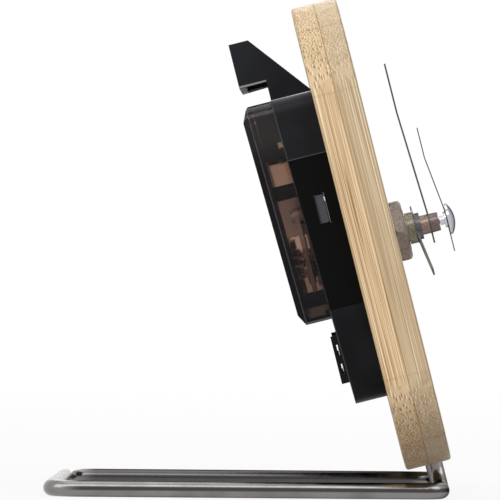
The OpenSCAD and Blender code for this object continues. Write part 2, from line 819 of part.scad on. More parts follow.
module circuit_board() {
    color([0.2, 0.42, 0.22]) at_dial() difference() {
        box([-pcb_w / 2, pcb_y - pcb_h / 2, -pcb_d - pcb_t], [pcb_w / 2, pcb_y + pcb_h / 2, -pcb_d]);
        for (p = pcb_posts) translate(p) rod(peg_r + run_gap, -pcb_d - pcb_t - over, over - pcb_d);
    }
}

chip_r = 0.23 * pcb_h;
chip_h = 0.9;

module driver_chip() {
    ball_r = (chip_r * chip_r + chip_h * chip_h) / (2 * chip_h);
    color([0.05, 0.05, 0.05]) at_dial() translate([-pcb_w / 5, pcb_y, -pcb_d - pcb_t]) intersection() {
        rod(chip_r, -chip_h, 0);
        translate([0, 0, ball_r - chip_h]) sphere(ball_r);
    }
}

crystal_r = 1;
crystal_l = 6;

module quartz_crystal() {
    color([0.75, 0.75, 0.77]) at_dial()
        translate([pcb_w / 8, pcb_y - pcb_h / 5, -pcb_d - pcb_t - crystal_r]) rotate([0, 90, 0])
            cylinder(r = crystal_r, h = crystal_l);
}

bobbin_x = lug_x + coil_lug_l / 2;
coil_d = core_d + core_t / 2;

// Turns its child so that z runs along the coil
module at_coil() {
    at_dial() translate([bobbin_x, coil_y, -coil_d]) rotate([0, 90, 0]) children();
}

module coil_bobbin() {
    color([0.82, 0.8, 0.76]) at_coil() difference() {
        union() {
            for (z = [-1, 1]) translate([0, 0, z * (bobbin_l - bobbin_t) / 2])
                cube([flange_size, flange_size, bobbin_t], center = true);
            cylinder(r = bobbin_tube_r, h = bobbin_l, center = true);
        }
        cube([core_t + 2 * run_gap, core_w + 2 * run_gap, bobbin_l + 2 * over], center = true);
    }
}

module coil_winding() {
    color([0.62, 0.32, 0.16]) at_coil() difference() {
        cylinder(r = winding_r, h = bobbin_l - 2 * bobbin_t, center = true);
        cylinder(r = bobbin_tube_r, h = bobbin_l, center = true);
    }
}

module coil_core() {
    color([0.5, 0.5, 0.52]) at_dial() difference() {
        union() {
            box([lug_x, coil_y - core_w / 2, -core_d - core_t],
                [lug_x + coil_lug_l, coil_y + core_w / 2, -core_d]);
            for (p = lug_places) translate(p) rod(lug_r, -core_d - core_t, -core_d);
        }
        for (p = lug_places) translate(p) rod(screw_r + run_gap, -core_d - core_t - over, over - core_d);
    }
}

module stator() {
    arm = stator_arm_w / 2;
    color([0.55, 0.55, 0.57]) at_dial() difference() {
        union() {
            box([lug_x - arm, stator_low, -stator_d - stator_t],
                [lug_x + coil_lug_l + arm, stator_high, -stator_d]);
            for (p = lug_places) translate(p) {
                box([-arm, stator_low - coil_y, -stator_d - stator_t], [arm, 0, -stator_d]);
                rod(lug_r, -stator_d - stator_t, -stator_d);
            }
        }
        translate(rotor_at) rod(rotor_r + rotor_gap, -stator_d - stator_t - over, over - stator_d);
        for (p = [lug_places[0], lug_places[1], stator_foot]) translate(p)
            rod(screw_r + run_gap, -stator_d - stator_t - over, over - stator_d);
    }
}

module stator_screws() {
    color([0.62, 0.62, 0.64]) at_dial() for (p = [lug_places[0], lug_places[1], stator_foot]) translate(p) {
        rod(screw_r, -stator_d - stator_t, -stator_d + screw_l - core_t);
        difference() {
            rod(screw_head_r, -stator_d - stator_t - screw_head_t, -stator_d - stator_t);
            translate([0, 0, -stator_d - stator_t - screw_head_t])
                cube([2 * screw_head_r + over, screw_head_r / 4, screw_head_t], center = true);
        }
    }
}

module rotor_magnet() {
    color([0.35, 0.35, 0.37]) at_dial() translate(rotor_at) difference() {
        rod(rotor_r, -magnet_d - magnet_t, -magnet_d);
        rod(arbor_r, -magnet_d - magnet_t - over, over - magnet_d);
    }
}

// A straight arbor of radius r, from its front end at the depth front to its rear bearing
module arbor(r, front) {
    rod(r, slip_gap - bearing_d - pivot_l, -front);
}

module rotor_pinion() {
    color([0.85, 0.83, 0.78]) at_dial() translate(rotor_at) {
        arbor(arbor_r, plate_d + slip_gap);
        pinion(rotor_teeth, rotor_m, inter_d, rotor_turn);
        rod(2 * arbor_r, -magnet_d, -inter_d - wheel_t);
    }
}

module intermediate_wheel() {
    color([0.86, 0.85, 0.8]) at_dial() translate(inter_at) {
        arbor(arbor_r, plate_d + slip_gap);
        wheel(inter_teeth, rotor_m, inter_d);
        pinion(inter_leaves, second_m, second_d, inter_leaf_turn);
        rod(2 * arbor_r, -second_d, -inter_d);
    }
}

module second_wheel() {
    color([0.84, 0.82, 0.76]) at_dial() {
        rod(second_arbor_r, slip_gap - bearing_d - pivot_l, board_t + flange_f);
        wheel(second_teeth, second_m, second_d);
        pinion(second_leaves, third_m, third_d);
        rod(1.8 * second_arbor_r, -third_d, -second_d);
    }
}

module third_wheel() {
    color([0.86, 0.84, 0.79]) at_dial() translate(third_at) {
        arbor(arbor_r, case_wall + slip_gap);
        wheel(third_teeth, third_m, third_d, third_turn);
        pinion(third_leaves, centre_m, centre_d);
    }
}

module centre_wheel() {
    color([0.83, 0.81, 0.75]) at_dial() difference() {
        wheel(centre_teeth, centre_m, centre_d, centre_turn);
        rod(minute_tail_r + run_gap, -centre_d - wheel_t - over, over - centre_d);
    }
}

module minute_arbor() {
    tail_d = centre_d + wheel_t + slip_gap;
    color([0.75, 0.64, 0.4]) at_dial() difference() {
        union() {
            rod(minute_tail_r, -tail_d, -motion_d);
            pinion(cannon_leaves, motion_m, motion_d);
            rod(minute_r, pinion_over - motion_d, board_t + minute_plate_f);
            rod(minute_seat_r, 0, board_t + minute_arbor_top);
        }
        rod(minute_bore_r, -tail_d - over, board_t + minute_arbor_top + over);
    }
}

module motion_wheel() {
    color([0.87, 0.86, 0.82]) at_dial() translate(motion_at) difference() {
        union() {
            wheel(motion_teeth, motion_m, motion_d, motion_turn);
            pinion(motion_leaves, hour_m, hour_d);
            rod(2 * arbor_r, -motion_d, -hour_d);
        }
        rod(arbor_r + run_gap, -motion_d - wheel_t - over, over - hour_d);
    }
}

module hour_wheel() {
    color([0.74, 0.63, 0.4]) at_dial() difference() {
        union() {
            wheel(hour_teeth, hour_m, hour_d, hour_turn);
            rod(hour_tube_r, -hour_d - wheel_t, board_t + hour_tube_top);
        }
        rod(hour_bore_r, -hour_d - wheel_t - over, board_t + hour_tube_top + over);
    }
}

module hour_collet() {
    color([0.6, 0.55, 0.48]) at_dial() difference() {
        rod(collet_r, board_t + hour_plate_f - collet_l, board_t + hour_plate_f);
        rod(hour_tube_r, board_t + bush_top, board_t + hour_plate_f + over);
    }
}

// A stamped hand that points along y: a plan with a round boss, a blade w wide at the axis and
// narrower at its tip, and a tail, out of a sheet t thick that is bent to the line of [y, z] points
module stamped_hand(boss_r, w, l, tail, t, bends) {
    last = len(bends) - 1;
    intersection() {
        translate([0, 0, -boss_r]) linear_extrude(2 * boss_r) {
            circle(boss_r);
            polygon([[-w / 2, -tail], [w / 2, -tail], [w / 2, 0], [w * tip_share / 2, l],
                [-w * tip_share / 2, l], [-w / 2, 0]]);
        }
        side_profile(3 * boss_r)
            polygon([for (p = bends) p, for (i = [0:last]) bends[last - i] + [0, t]]);
    }
}

// The point where a sheet bent by the angle a at the point p ends, at the height y on the dial
function sloped(p, y, a) = [y, p[1] + (y - p[0]) * tan(a)];

tip_share = 0.6;
hour_tail = 5.9;
minute_tail = 3.7;
second_tail = 6.1;
second_bend_r = 12.1;
minute_flat_l = 9.3;
hour_rise = 3.8;
minute_fall = 2.8;
second_fall = 6.8;

module hour_hand() {
    start = [hour_boss_r + slip_gap, 0];
    color([0.24, 0.24, 0.25]) at_dial() translate([0, 0, board_t + hour_plate_f]) difference() {
        rotate([0, 0, -hour_shown * 30]) stamped_hand(hour_boss_r, hour_w, hour_l, hour_tail, hand_t,
            [[-hour_tail - over, 0], start, sloped(start, hour_l + over, hour_rise)]);
        rod(hour_tube_r, -over, hand_t + over);
    }
}

module minute_hand() {
    start = [minute_boss_r + slip_gap, 0];
    bend = sloped(start, minute_l - minute_flat_l, -minute_fall);
    color([0.24, 0.24, 0.25]) at_dial() translate([0, 0, board_t + minute_plate_f]) difference() {
        stamped_hand(minute_boss_r, minute_w, minute_l, minute_tail, hand_t,
            [[-minute_tail - over, 0], start, bend, [minute_l + over, bend[1]]]);
        rod(minute_seat_r, -over, hand_t + over);
    }
}

module minute_nut() {
    color([0.6, 0.57, 0.54]) at_dial() translate([0, 0, board_t + minute_plate_f + hand_t]) difference() {
        cylinder(r1 = minute_r, r2 = minute_r - 0.2 * hand_t, h = minute_nut_t);
        rod(minute_seat_r, -over, minute_nut_t + over);
    }
}

module second_tube() {
    color([0.6, 0.57, 0.54]) at_dial() difference() {
        union() {
            rod(second_tube_r, board_t + second_tube_f, board_t + flange_f);
            rod(flange_r, board_t + flange_f, board_t + flange_f + flange_t);
        }
        rod(second_arbor_r, board_t + second_tube_f - over, board_t + flange_f);
    }
}

module second_hand() {
    start = [second_boss_r + slip_gap, 0];
    bend = sloped(start, second_bend_r, -second_fall);
    color([0.24, 0.24, 0.25]) at_dial() translate([0, 0, board_t + second_plate_f])
        stamped_hand(second_boss_r, second_w, second_l, second_tail, second_hand_t,
            [[-second_tail - over, 0], start, bend, [second_l + over, bend[1]]]);
}

module second_cap() {
    color([0.8, 0.8, 0.8]) at_dial() translate([0, 0, board_t + cap_f]) {
        rod(cap_r, 0, cap_rim_t);
        intersection() {
            rod(cap_r, 0, cap_rim_t + cap_dome_h);
            translate([0, 0, cap_rim_t + cap_dome_h - cap_ball_r]) sphere(cap_ball_r);
        }
    }
}

front_ply();
rear_ply();
wire_stand();
front_case();
wall_hanger();
rear_cover();
threaded_bush();
nut_washer();
hex_nut();
middle_plate();
setting_knob();
positive_contact();
negative_contact();
circuit_board();
driver_chip();
quartz_crystal();
coil_bobbin();
coil_winding();
coil_core();
stator();
stator_screws();
rotor_magnet();
rotor_pinion();
intermediate_wheel();
second_wheel();
third_wheel();
centre_wheel();
minute_arbor();
motion_wheel();
hour_wheel();
hour_collet();
hour_hand();
minute_hand();
minute_nut();
second_tube();
second_hand();
second_cap();
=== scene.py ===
import json
import math

import bmesh
import bpy
from mathutils import Matrix, Quaternion, Vector


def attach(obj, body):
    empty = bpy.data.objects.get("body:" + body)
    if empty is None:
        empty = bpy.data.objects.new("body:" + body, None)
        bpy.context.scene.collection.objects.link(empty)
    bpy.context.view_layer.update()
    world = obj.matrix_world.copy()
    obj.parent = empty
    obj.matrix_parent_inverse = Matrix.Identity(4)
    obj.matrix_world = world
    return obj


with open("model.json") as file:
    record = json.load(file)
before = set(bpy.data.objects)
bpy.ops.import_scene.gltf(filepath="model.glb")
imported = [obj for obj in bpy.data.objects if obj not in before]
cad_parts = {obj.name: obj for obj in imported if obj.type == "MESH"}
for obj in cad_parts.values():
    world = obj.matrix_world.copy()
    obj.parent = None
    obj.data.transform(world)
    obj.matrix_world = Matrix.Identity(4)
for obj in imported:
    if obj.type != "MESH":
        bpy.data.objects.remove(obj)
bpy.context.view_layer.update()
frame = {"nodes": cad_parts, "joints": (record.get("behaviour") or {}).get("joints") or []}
nodes = frame["nodes"]

# The board: two plies of bamboo strips, pressed flat and glued face to face, with the fibres
# upright, cut to a square with round corners and oiled. The hands' shaft passes through it, and
# its foot takes the two uprights of the stand.
mm = 0.001
shaft_joint = next(j for j in frame["joints"] if j["name"] == "second_spin")
shaft = Vector(shaft_joint["pos_m"])
lean = math.asin(-shaft_joint["axis"][2])
dial_turn = math.pi / 2 - lean
dial_to_world = Matrix.Translation(shaft) @ Matrix.Rotation(dial_turn, 4, "X")


def dial_box(name):
    """A piece's two corners in mm on the dial: x to the right, y up the board, z to the front."""
    world_to_dial = dial_to_world.inverted()
    spots = [world_to_dial @ vertex.co / mm for vertex in nodes[name].data.vertices]
    return [Vector([pick(spot[axis] for spot in spots) for axis in range(3)])
            for pick in (min, max)]


rear_low, rear_high = dial_box("rear_ply")
glue_z = rear_high.z
face_z = dial_box("front_ply")[1].z
foot_y = rear_low.y
board_middle = (foot_y + rear_high.y) / 2
corner_r = 17.0
corner_start = rear_high.x - corner_r
strip_w = 19.0
# the colour of the painted highlights beside the bamboo's dark bundle cores
painted_glint_tone = (1.0, 0.86, 0.62)
# the tone of the painted shade at the board's foot
foot_shade_tone = (0.54, 0.505, 0.475)
# the tone of a thin dark line along the edge of the front face
dark_edge_tone = (0.10, 0.075, 0.06)


class Recipe:
    """A tree of nodes, with the small steps that this clock's finishes are mixed from."""

    def __init__(self, tree):
        self.tree = tree

    def add(self, kind, **settings):
        step = self.tree.nodes.new(kind)
        for key, value in settings.items():
            setattr(step, key, value)
        return step

    def feed(self, socket, value):
        """Link an output to the socket, or set it to a number, a vector or a colour."""
        if isinstance(value, bpy.types.NodeSocket):
            self.tree.links.new(value, socket)
        elif socket.type == "RGBA":
            socket.default_value = (*value, 1)
        else:
            socket.default_value = value

    def fill(self, step, **values):
        """Feed the inputs of a step by name, with _ for each space in it."""
        for key, value in values.items():
            self.feed(step.inputs[key.replace("_", " ")], value)
        return step.outputs

    def maths(self, operation, *values):
        step = self.add("ShaderNodeMath", operation=operation)
        for socket, value in zip(step.inputs, values):
            self.feed(socket, value)
        return step.outputs["Value"]

    def product(self, first, *others):
        for other in others:
            first = self.maths("MULTIPLY", first, other)
        return first

    def most(self, first, *others):
        for other in others:
            first = self.maths("MAXIMUM", first, other)
        return first

    def off(self, value, middle=0.0):
        """How far the value lies from the middle, to either side."""
        return self.maths("ABSOLUTE", self.maths("SUBTRACT", value, middle))

    def spread(self, value, low, high, to_low=0.0, to_high=1.0):
        """The value from low to high, turned smoothly into to_low to to_high."""
        step = self.add("ShaderNodeMapRange", interpolation_type="SMOOTHSTEP")
        return self.fill(step, Value=value, From_Min=low, From_Max=high,
                         To_Min=to_low, To_Max=to_high)["Result"]

    def band(self, value, middle, half, soft):
        """1 where the value is within half of the middle, falling to 0 over soft."""
        return self.spread(self.off(value, middle), half, half + soft, 1, 0)

    def axes(self, vector):
        step = self.add("ShaderNodeSeparateXYZ")
        return self.fill(step, Vector=vector)

    def mix(self, share, first, second, way="MIX"):
        """The first colour, with the second laid over it by its share."""
        step = self.add("ShaderNodeMix", data_type="RGBA", blend_type=way)
        for place, value in ((0, share), (6, first), (7, second)):
            self.feed(step.inputs[place], value)
        return step.outputs[2]


class Finish(Recipe):
    """The surface of a piece, with its patterns laid out in millimetres on the dial."""

    def __init__(self, name, colour, roughness, metallic=0.0):
        self.material = bpy.data.materials.new(name)
        self.material.use_nodes = True
        super().__init__(self.material.node_tree)
        self.shader = self.tree.nodes["Principled BSDF"]
        self.fill(self.shader, Base_Color=colour, Roughness=roughness, Metallic=metallic)

    def surface(self, **values):
        self.fill(self.shader, **values)

    def dial(self, along=1.0):
        """The place on the dial in mm, with the way up the board times along."""
        place = self.fill(self.add("ShaderNodeMapping"),
                          Vector=self.add("ShaderNodeTexCoord").outputs["Object"],
                          Rotation=(-dial_turn, 0, 0),
                          Location=-(Matrix.Rotation(-dial_turn, 3, "X") @ shaft))
        scale = self.add("ShaderNodeVectorMath", operation="MULTIPLY")
        self.feed(scale.inputs[0], place["Vector"])
        self.feed(scale.inputs[1], (1 / mm, along / mm, 1 / mm))
        return scale.outputs["Vector"]

    def noise(self, place, scale, detail=3.0, rough=0.5):
        step = self.add("ShaderNodeTexNoise")
        return self.fill(step, Vector=place, Scale=scale, Detail=detail, Roughness=rough)["Fac"]

    def mottle(self, scale, detail=3.0, rough=0.5, along=1.0):
        """Clouds, scale of them to a mm, and drawn out up the board where along is under 1."""
        return self.noise(self.dial(along), scale, detail, rough)

    def relief(self, height, depth, strength):
        bump = self.add("ShaderNodeBump")
        self.surface(Normal=self.fill(bump, Height=height, Distance=depth,
                                      Strength=strength)["Normal"])

    def coat(self, *names):
        for name in names:
            mesh = nodes[name].data
            mesh.materials.clear()
            mesh.materials.append(self.material)


def bamboo(name, pale, tan, dot, end_tone, bundles_per_mm, dot_share, line_share):
    """One ply: its bundles of fibre are lines on the sides and dots where a corner cuts them."""
    wood = Finish(name, pale, 0.52)
    across, up, out = wood.axes(wood.dial())

    # the bundles run up the board with a slight sway
    sway = wood.mottle(0.35, 1, along=0.03)
    section = wood.fill(wood.add("ShaderNodeCombineXYZ"),
                        X=wood.maths("MULTIPLY_ADD", sway, 0.9, across),
                        Y=wood.maths("MULTIPLY_ADD", sway, 0.5, out))

    def bundles(forward):
        moved = wood.add("ShaderNodeVectorMath", operation="ADD")
        wood.feed(moved.inputs[0], section["Vector"])
        wood.feed(moved.inputs[1], (0, -forward, 0))
        cells = wood.add("ShaderNodeTexVoronoi", voronoi_dimensions="2D", feature="F1")
        return wood.fill(cells, Vector=moved.outputs["Vector"], Scale=bundles_per_mm,
                         Randomness=0.8)

    # dots with a soft rim, sized as shares of the way between bundles, some fainter than others
    core_r, rim_r = 0.12, 0.28
    cores = bundles(0)
    chance = wood.fill(wood.add("ShaderNodeSeparateColor"), Color=cores["Color"])["Red"]
    dots = wood.product(wood.spread(cores["Distance"], core_r, rim_r, 1, 0),
                        wood.spread(chance, 0.1, 0.7, 0.55, 1))
    # painted highlight: a pale glint painted just in front of each bundle's dark core
    fronts = wood.spread(bundles(0.3)["Distance"], 0.1, rim_r, dot_share, 0)
    painted_glints = wood.maths("SUBTRACT", fronts, dots)

    # 1 on the board's edge all round, 0 on its two faces
    from_middle = wood.off(up, board_middle)
    past = [wood.most(wood.maths("SUBTRACT", reach, corner_start), 0)
            for reach in (wood.off(across), from_middle)]
    outward = wood.maths("SQRT", wood.maths("ADD", *(wood.product(part, part) for part in past)))
    edge = wood.spread(outward, corner_r - 1.0, corner_r - 0.2)

    # bold and faint lines along the fibres, which fade where a round corner turns to end grain
    bold = wood.band(wood.mottle(2.2, 1, along=0.004), 0.5, half=0.010, soft=0.05)
    faint = wood.band(wood.mottle(4.2, 1, along=0.006), 0.46, half=0.012, soft=0.06)
    rounding = wood.spread(from_middle, corner_start, corner_start + 3, 0, 0.85)
    lines = wood.product(wood.most(bold, wood.product(faint, 0.6)), line_share,
                         wood.maths("SUBTRACT", 1.0, wood.product(edge, rounding)))

    # soft streaks, over a tone of its own for each strip of each ply
    streaks = wood.mottle(1.1, 5, 0.6, along=0.012)
    strips = wood.maths("DIVIDE", across, strip_w)
    strip_tone = wood.fill(wood.add("ShaderNodeTexWhiteNoise", noise_dimensions="1D"),
                           W=wood.maths("ADD", wood.maths("FLOOR", strips), bundles_per_mm))
    tone = wood.maths("MULTIPLY_ADD", strip_tone["Value"], 0.16, streaks)

    # the glue lines between the plies and between the strips, and the start of each corner
    ply_joint = wood.product(wood.band(out, glue_z, half=0.05, soft=0.12), 0.65)
    from_strip_middle = wood.off(wood.maths("FRACT", strips), 0.5)
    strip_joint = wood.product(wood.spread(from_strip_middle, 0.4925, 0.4985), 0.35)
    corner_line = wood.product(wood.band(from_middle, corner_start, half=0.1, soft=0.25),
                               edge, 0.15)

    # end grain drinks the oil; painted shade darkens the foot; a dark line edges the face
    end_grain = wood.product(wood.spread(from_middle, corner_start - 1, corner_start + 8), edge)
    # painted shade: darker towards the foot, fully on the edge and faintly on the faces
    foot_shade = wood.product(wood.spread(up, foot_y + 0.4, foot_y + 18.4, 1, 0),
                        wood.maths("MULTIPLY_ADD", edge, 0.75, 0.25))
    dark_face_edge = wood.product(wood.band(out, face_z - 0.2, half=0.06, soft=0.12), edge, 0.6)

    colour = wood.mix(wood.spread(tone, 0.42, 0.8), pale, tan)
    for share, tint, way in (
        (lines, dot, "MIX"),
        (wood.product(dots, dot_share), dot, "MIX"),
        # painted highlights beside the dark cores
        (painted_glints, painted_glint_tone, "MIX"),
        (wood.most(ply_joint, corner_line, strip_joint), dot, "MIX"),
        (end_grain, end_tone, "MULTIPLY"),
        # painted shade at the foot
        (foot_shade, foot_shade_tone, "MULTIPLY"),
        (dark_face_edge, dark_edge_tone, "MIX"),
    ):
        colour = wood.mix(share, colour, tint, way)
    wood.surface(Base_Color=colour, Roughness=wood.spread(streaks, 0.3, 0.75, 0.46, 0.62))
    fine = wood.mottle(7, 4, 0.6, along=0.03)
    wood.relief(wood.maths("SUBTRACT", wood.product(fine, 0.5), dots), 0.08 * mm, 0.7)
    return wood


bamboo("rear_bamboo", pale=(0.80, 0.595, 0.365), tan=(0.61, 0.43, 0.24), dot=(0.27, 0.135, 0.03),
       end_tone=(0.79, 0.77, 0.73), bundles_per_mm=2.0, dot_share=0.85,
       line_share=0.9).coat("rear_ply")
bamboo("front_bamboo", pale=(0.66, 0.515, 0.335), tan=(0.53, 0.395, 0.24), dot=(0.31, 0.18, 0.07),
       end_tone=(0.88, 0.87, 0.85), bundles_per_mm=2.4, dot_share=0.55,
       line_share=0.6).coat("front_ply")

# The dial: marks and plain numbers burnt into the face of the board, a little deeper in tone than
# the wood. Sixty short marks, twelve long ones, and the numbers inside them.
mark_ring_r = 38.8 * mm
hour_ring_r = mark_ring_r - 0.55 * mm
number_ring_r = 33.2 * mm
number_h = 6.2 * mm
mark_t = 0.03 * mm
mark_z = face_z * mm + mark_t / 2


def mottled(name, colour, roughness, metallic=0.0, grain=(3, 3), along=1.0,
            tones=None, patches=None, shine=None, relief=None):
    """A finish with one fine mottle, whose scale and detail are its grain.

    The mottle shifts the colour between two tones, across the share of it that patches gives,
    the roughness over the two values of shine, and the height by relief's depth and strength.
    """
    finish = Finish(name, colour, roughness, metallic)
    mottle = finish.mottle(*grain, along=along)
    if tones:
        share = finish.spread(mottle, *patches) if patches else mottle
        finish.surface(Base_Color=finish.mix(share, *tones))
    if shine:
        finish.surface(Roughness=finish.spread(mottle, 0.3, 0.7, *shine))
    if relief:
        finish.relief(mottle, *relief)
    return finish


burnt = mottled("burnt_mark", (0.055, 0.028, 0.014), 0.75, grain=(5, 4), along=0.1,
                tones=((0.035, 0.018, 0.009), (0.12, 0.06, 0.028)), relief=(0.02 * mm, 0.5))

ring = Recipe(bpy.data.node_groups.new("ring_of_marks", "GeometryNodeTree"))
for key, kind in (("Geometry", "Geometry"), ("Radius", "Float"), ("Mark length", "Float"),
                  ("Mark width", "Float"), ("Mark thickness", "Float"), ("Height", "Float"),
                  ("Count", "Int")):
    ring.tree.interface.new_socket(key, in_out="INPUT", socket_type="NodeSocket" + kind)
ring.tree.interface.new_socket("Geometry", in_out="OUTPUT", socket_type="NodeSocketGeometry")
given = ring.add("NodeGroupInput").outputs
circle = ring.fill(ring.add("GeometryNodeMeshCircle", fill_type="NONE"),
                   Vertices=given["Count"], Radius=given["Radius"])
bar_size = ring.fill(ring.add("ShaderNodeCombineXYZ"), X=given["Mark width"],
                     Y=given["Mark length"], Z=given["Mark thickness"])
bar = ring.fill(ring.add("GeometryNodeMeshCube"), Size=bar_size["Vector"])
outwards = ring.fill(ring.add("FunctionNodeAlignRotationToVector", axis="Y"),
                     Vector=ring.add("GeometryNodeInputPosition").outputs["Position"])
bars = ring.fill(ring.add("GeometryNodeInstanceOnPoints"), Points=circle["Mesh"],
                 Instance=bar["Mesh"], Rotation=outwards["Rotation"])
lift = ring.fill(ring.add("ShaderNodeCombineXYZ"), Z=given["Height"])
lifted = ring.fill(ring.add("GeometryNodeTransform"), Geometry=bars["Instances"],
                   Translation=lift["Vector"])
real = ring.fill(ring.add("GeometryNodeRealizeInstances"), Geometry=lifted["Geometry"])
painted = ring.fill(ring.add("GeometryNodeSetMaterial"), Geometry=real["Geometry"],
                    Material=burnt.material)
ring.fill(ring.add("NodeGroupOutput"), Geometry=painted["Geometry"])


def plain_mesh(holder):
    """The mesh that the holder evaluates to. The holder itself is used up."""
    bpy.context.scene.collection.objects.link(holder)
    seen = holder.evaluated_get(bpy.context.evaluated_depsgraph_get())
    made = bpy.data.meshes.new_from_object(seen)
    bpy.data.objects.remove(holder)
    return made


def set_on_board(name, mesh):
    piece = bpy.data.objects.new(name, mesh)
    bpy.context.scene.collection.objects.link(piece)
    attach(piece, "clock")


for name, count, length, width, radius in (
    ("minute_marks", 60, 1.1 * mm, 0.3 * mm, mark_ring_r),
    ("hour_marks", 12, 2.2 * mm, 0.7 * mm, hour_ring_r),
):
    holder = bpy.data.objects.new(name, bpy.data.meshes.new(name))
    grower = holder.modifiers.new("ring_of_marks", "NODES")
    grower.node_group = ring.tree
    ring_sizes = {"Radius": radius, "Mark length": length, "Mark width": width,
                  "Mark thickness": mark_t, "Height": mark_z, "Count": count}
    for item in ring.tree.interface.items_tree:
        if item.in_out == "INPUT" and item.name in ring_sizes:
            grower[item.identifier] = ring_sizes[item.name]
    marks = plain_mesh(holder)
    marks.transform(dial_to_world)
    set_on_board(name, marks)

numbers = bmesh.new()
for hour in range(1, 13):
    text = bpy.data.curves.new("number", "FONT")
    text.body = str(hour)
    text.size = number_h
    text.extrude = mark_t / 2
    text.align_x, text.align_y = "CENTER", "CENTER"
    flat = plain_mesh(bpy.data.objects.new("number", text))
    angle = math.radians(30 * hour)
    place = (number_ring_r * math.sin(angle), number_ring_r * math.cos(angle), mark_z)
    flat.transform(dial_to_world @ Matrix.Translation(place))
    numbers.from_mesh(flat)
numbers_mesh = bpy.data.meshes.new("dial_numbers")
numbers.to_mesh(numbers_mesh)
numbers_mesh.materials.append(burnt.material)
set_on_board("dial_numbers", numbers_mesh)

# The stand: one steel rod bent cold to a loop that lies on the table, with two ends turned up
# into the board's foot. Nickel plated, with faint drawing lines along the rod.
rod_d = 3.0 * mm
run_x = max(vertex.co.x for vertex in nodes["wire_stand"].data.vertices) - rod_d / 2
flank_z = 1.65 * mm
front_bend_y = -30 * mm
rear_bend_y = 32 * mm
rod = Finish("plated_rod", (0.17, 0.165, 0.16), 0.22, 1.0)
table = rod.add("ShaderNodeTexCoord").outputs["Object"]
across, back, up = rod.axes(table)
drawn = rod.noise(table, 900, 3)
cloudy = rod.spread(rod.noise(table, 120, 3), 0.3, 0.7)
plating = rod.mix(cloudy, (0.26, 0.25, 0.245), (0.19, 0.18, 0.175))
# painted reflection: a dark band along the rod's flank and a dark line along its crown
flank = rod.band(up, flank_z, half=0.2 * mm, soft=0.35 * mm)
crown = rod.product(rod.band(up, rod_d, half=0.1 * mm, soft=0.2 * mm),
                    rod.spread(back, front_bend_y - 1 * mm, front_bend_y + 1 * mm))
# and a painted dark reflection on the inner side of the loop's runs
from_run = rod.maths("SUBTRACT", rod.off(across), run_x)
inner = rod.product(rod.spread(from_run, -0.6 * mm, -0.1 * mm, 0.8, 0),
                    rod.spread(back, front_bend_y - 2.5 * mm, front_bend_y + 0.5 * mm))
# the painted dark reflections end before the rear bend
along_run = rod.spread(back, rear_bend_y - 2 * mm, rear_bend_y + 2.5 * mm, 1, 0)
painted_dark_reflection = rod.product(rod.most(flank, crown, inner), along_run)
rod.surface(Base_Color=rod.mix(painted_dark_reflection, plating, (0.06, 0.057, 0.058)),
            # painted reflection: the rear crosspiece keeps a full edge tint, so it looks brighter
            # than the runs
            Specular_Tint=rod.mix(along_run, (1.0, 1.0, 1.0), (0.3, 0.3, 0.3)),
            Roughness=rod.spread(drawn, 0.3, 0.7, 0.17, 0.27))
rod.relief(drawn, 0.01 * mm, 0.3)
rod.coat("wire_stand")

# The movement's front case and its wall hanger: black moulded plastic with a fine spark-eroded
# surface, smoother in the recess of its sides. The hanger is pressed into the case's upper wall.
case_top = dial_box("front_case")[1].y
recess_low, recess_high = -10.9, 16.9
rim_z, rim_slope = -6.77, 0.0301
rim_x = 28.0
notch_y, notch_z = 32.5, -7.5
black = Finish("black_case", (0.008, 0.009, 0.011), 0.42)
across, up, out = black.axes(black.dial())
grit = black.mottle(9, 3, 0.6)
sheen = black.spread(black.mottle(0.12, 2), 0.35, 0.7)
eroded = black.mix(sheen, (0.003, 0.0035, 0.0045), (0.008, 0.0085, 0.011))
# the recess in the sides is darker and reflects less than the rest of the case
recess = black.band(up, (recess_low + recess_high) / 2, half=(recess_high - recess_low) / 2,
                    soft=0.15)
moulded = black.mix(recess, eroded, (0.0035, 0.0035, 0.0035))
# painted highlights on the recess's upper step, the rim, the case's top and the hanger's notch
from_rim = black.maths("MULTIPLY_ADD", up, rim_slope, black.maths("SUBTRACT", out, rim_z))
painted_edge_highlights = black.most(
    black.product(black.band(up, recess_high + 0.15, half=0.06, soft=0.1), 0.2),
    black.product(black.band(from_rim, 0.1, half=0.05, soft=0.1),
                  black.spread(black.off(across), rim_x - 0.1, rim_x + 0.1, 0, 0.16)),
    black.band(up, case_top - 0.08, half=0.05, soft=0.12),
    black.product(black.band(up, notch_y, half=0.12, soft=0.1),
                  black.spread(out, notch_z - 0.1, notch_z + 0.1, 1, 0)))
# painted shade: the sides reflect less towards the foot, so they look darker below
shaded_gloss = black.mix(black.spread(up, recess_low - 0.1, 15), (0.22, 0.22, 0.23), (0.36, 0.37, 0.40))
black.surface(
    Base_Color=black.mix(painted_edge_highlights, moulded, (0.3, 0.3, 0.32)),
    Specular_Tint=black.mix(recess, shaded_gloss, (0.10, 0.10, 0.10)),
    Roughness=black.maths("SUBTRACT", black.spread(grit, 0.3, 0.7, 0.40, 0.50),
                          black.product(recess, 0.1)))
black.relief(grit, 0.012 * mm, 0.4)
black.coat("front_case", "wall_hanger")

# The rear cover: clear smoky brown plastic, polished, snapped into the case. The works show
# through it.
cover_foot = dial_box("rear_cover")[0].y
back_z, back_slope = -12.52, 0.0305
wall_x = 27.2
tab_z = -4.9
window_y, window_half = 5.7, 4.5
smoky = Finish("smoky_cover", (0.97, 0.96, 0.95), 0.05)
across, up, out = smoky.axes(smoky.dial())
side_wall = smoky.spread(smoky.off(across), wall_x - 0.1, wall_x + 0.1)
from_back = smoky.maths("ADD", out, smoky.maths("MULTIPLY_ADD", up, back_slope, -back_z))
